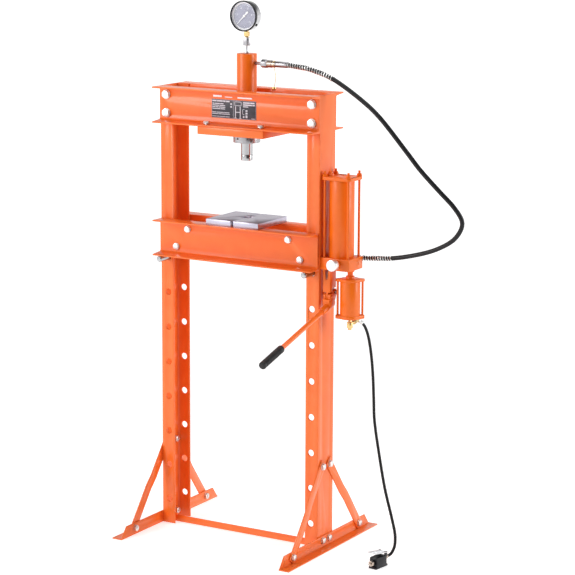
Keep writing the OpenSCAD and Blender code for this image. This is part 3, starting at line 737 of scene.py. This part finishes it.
TICK_RADIUS, NUMBER_RADIUS = 0.0385, 0.0272
ticks = []
for k in range(51):
    long, thick = 0.0034, 0.0006
    if k % TICKS_PER_NUMBER == 0:
        long, thick = 0.0066, 0.0011
    elif k % 5 == 0:
        long, thick = 0.0050, 0.0008
    turn = math.radians(FIRST_TICK - TICK_STEP * k)
    mark = block((TICK_RADIUS - long, -0.0001, -thick / 2), (TICK_RADIUS, 0.0001, thick / 2))
    mark.matrix_world = (Matrix.Translation(GAUGE + Vector((0, FACE_Y - 0.0001, 0)))
                         @ Matrix.Rotation(-turn, 4, "Y"))
    ticks.append(settle(mark))
for k in range(6):
    turn = math.radians(FIRST_TICK - TICK_STEP * TICKS_PER_NUMBER * k)
    bpy.ops.object.text_add()
    number = bpy.context.object
    number.data.body = str(2 * k)
    number.data.size = 0.0078
    number.data.extrude = 0.0001
    number.data.align_x, number.data.align_y = "CENTER", "CENTER"
    offset = (NUMBER_RADIUS * math.cos(turn), FACE_Y - 0.0001, NUMBER_RADIUS * math.sin(turn))
    spot = GAUGE + Vector(offset)
    number.matrix_world = Matrix.Translation(spot) @ Matrix.Rotation(math.pi / 2, 4, "X")
    select_only(number)
    bpy.ops.object.convert(target="MESH")
    ticks.append(settle(bpy.context.object))
finish(joined(ticks, "ticks"), "dial_marks", "frame", INK_WHITE, smooth=False)
plug = turned([(0, 0), (0.0046, 0), (0.0046, 0.0016), (0.0034, 0.0030), (0, 0.0032)], 24)
low_right = Vector((math.cos(math.radians(-36)), 0, math.sin(math.radians(-36))))
finish(aimed(plug, GAUGE + Vector((0, -0.005, 0)) + low_right * 0.0476, low_right), "filling_plug",
       "frame", BLACK)
print("gauge dressed with", len(ticks), "marks")

# %% [markdown]
# ## Data plate
# The plate carries rows of plain bars where a real one has words, and a simple outline of a press.
# There is no lettering on it.

# %% Bars on the data plate
PLATE_FRONT = -0.0563
INK_THICK = 0.00015


def bars(spots, name, look):
    """Flat bars, each given by its left end, its bottom, its length and its height, in mm."""
    made = []
    for x, z, w, h in spots:
        made.append(block(at(x / 1000, PLATE_FRONT - INK_THICK, z / 1000),
                          at((x + w) / 1000, PLATE_FRONT + 0.0001, (z + h) / 1000)))
    return finish(joined(made, name), name, "frame", look, smooth=False)


def row(x, z, height, *lengths):
    """A row of bars with narrow gaps between them."""
    spots = []
    for w in lengths:
        spots.append((x, z, w, height))
        x += w + 1.6
    return spots


light = row(-97, 1460, 4.5, 16, 22, 9, 14) + row(-97, 1452, 3, 8, 19, 12) + row(-97, 1446.5, 2.6, 26, 21)
light += row(-97, 1441, 2.6, 12, 9, 25) + row(-97, 1435.5, 2.6, 31, 16) + row(-97, 1424, 2.2, 14, 28, 20)
light += row(-97, 1419, 2.2, 22, 12, 30) + row(-97, 1411, 1.8, 16, 10, 20, 15)
light += [(-28, 1452, 6, 5), (-28, 1443, 6, 5), (-17, 1408.5, 0.8, 58)]
light += row(20, 1459, 4.6, 26, 16) + row(20, 1452.5, 4, 34, 9) + row(20, 1447, 3, 20)
light += [(-12, 1462, 26, 1.6), (-12, 1450, 26, 1.6), (-12, 1450, 1.6, 13), (12.4, 1450, 1.6, 13)]
light += [(-10, 1411, 3, 37), (8, 1411, 3, 37), (-13, 1409, 9, 2), (5, 1409, 9, 2), (-7, 1428, 15, 2.4)]
light += [(18, 1424, 1.6, 15), (20, 1439, 5, 1.6), (20, 1422.4, 5, 1.6), (30, 1412, 7, 9)]
light += [(30, 1424, 7, 6), (30, 1433, 7, 5), (20, 1412, 5, 6), (52, 1410, 14, 1.8)]
bars(light, "plate_marks", INK_GREY)
bars([(-94, 1475, 33, 6), (-49, 1475, 28, 2.5), (-1, 1474, 55, 4.5)], "head_stripes", INK_WHITE)
bars([(-99.4, 1407.6, 168.8, 0.6), (-99.4, 1466.8, 168.8, 0.6), (-99.4, 1408, 0.6, 59),
      (68.8, 1408, 0.6, 59)], "plate_border", INK_GREY)
print("plate marked")

# %% [markdown]
# ## Studio
# The floor glows white, a little less near the press. A dark panel that only reflections can see gives
# the bright metal its contrast. Three soft boxes light the machine.

# %% Floor and light
bpy.ops.mesh.primitive_plane_add(size=400, location=(0, 0, 0))
floor = bpy.context.object
floor.name = "studio_floor"
floor_white = plain("studio_white", (0.80, 0.80, 0.80, 1), 0.60)
floor_shader = floor_white.node_tree.nodes["Principled BSDF"]
floor_net = Net(floor_white.node_tree)
spot = floor_net.out(floor_net.node("ShaderNodeTexCoord"), "Object")
distance = floor_net.out(floor_net.node("ShaderNodeVectorMath", {"operation": "LENGTH"}, i0=spot), "Value")
glow = ((distance - 1.5) / 6).clamp().mix(grey(0.58), grey(1.0))
floor_white.node_tree.links.new(glow.socket, floor_shader.inputs["Emission Color"])
floor_shader.inputs["Emission Strength"].default_value = 1.0
floor.data.materials.append(floor_white)


def softbox(name, where, target, size, watts):
    bpy.ops.object.light_add(type="AREA", location=where)
    light = bpy.context.object
    light.name = name
    light.data.shape = "RECTANGLE"
    light.data.size, light.data.size_y = size
    light.data.energy = watts
    light.rotation_euler = (Vector(target) - Vector(where)).to_track_quat("-Z", "Y").to_euler()


FLAG_PLACE = Vector((3.4, -2.2, 1.7))
FLAG_TARGET = Vector((0, 0, 1.7))
bpy.ops.mesh.primitive_plane_add(size=1, location=FLAG_PLACE)
flag = bpy.context.object
flag.name = "studio_flag"
flag.scale = (5.0, 3.4, 1)
flag.rotation_euler = (FLAG_TARGET - FLAG_PLACE).to_track_quat("Z", "Y").to_euler()
flag.data.materials.append(plain("studio_black", (0.02, 0.02, 0.02, 1), 0.8))
flag.visible_camera = False
flag.visible_shadow = False
softbox("key", (-2.6, -3.6, 3.0), (0, 0, 0.9), (2.2, 2.6), 125)
softbox("side", (4.6, 1.6, 2.0), (0, 0, 0.9), (1.6, 3.0), 110)
softbox("top", (0.3, 0.6, 4.2), (0, 0, 0.8), (2.6, 2.6), 60)
world = bpy.context.scene.world or bpy.data.worlds.new("studio")
bpy.context.scene.world = world
world.use_nodes = True
sky = Net(world.node_tree)
look = sky.out(sky.node("ShaderNodeTexCoord"), "Generated")
height = sky.out(sky.node("ShaderNodeSeparateXYZ", None, Vector=look), "Z")
haze = ((height - 0.22) / 0.25).clamp().mix(grey(0.95), grey(0.16))
world.node_tree.links.new(haze.socket, world.node_tree.nodes["Background"].inputs["Color"])
world.node_tree.nodes["Background"].inputs["Strength"].default_value = 1.0
bpy.context.scene.view_settings.view_transform = "Standard"
print("studio lit")
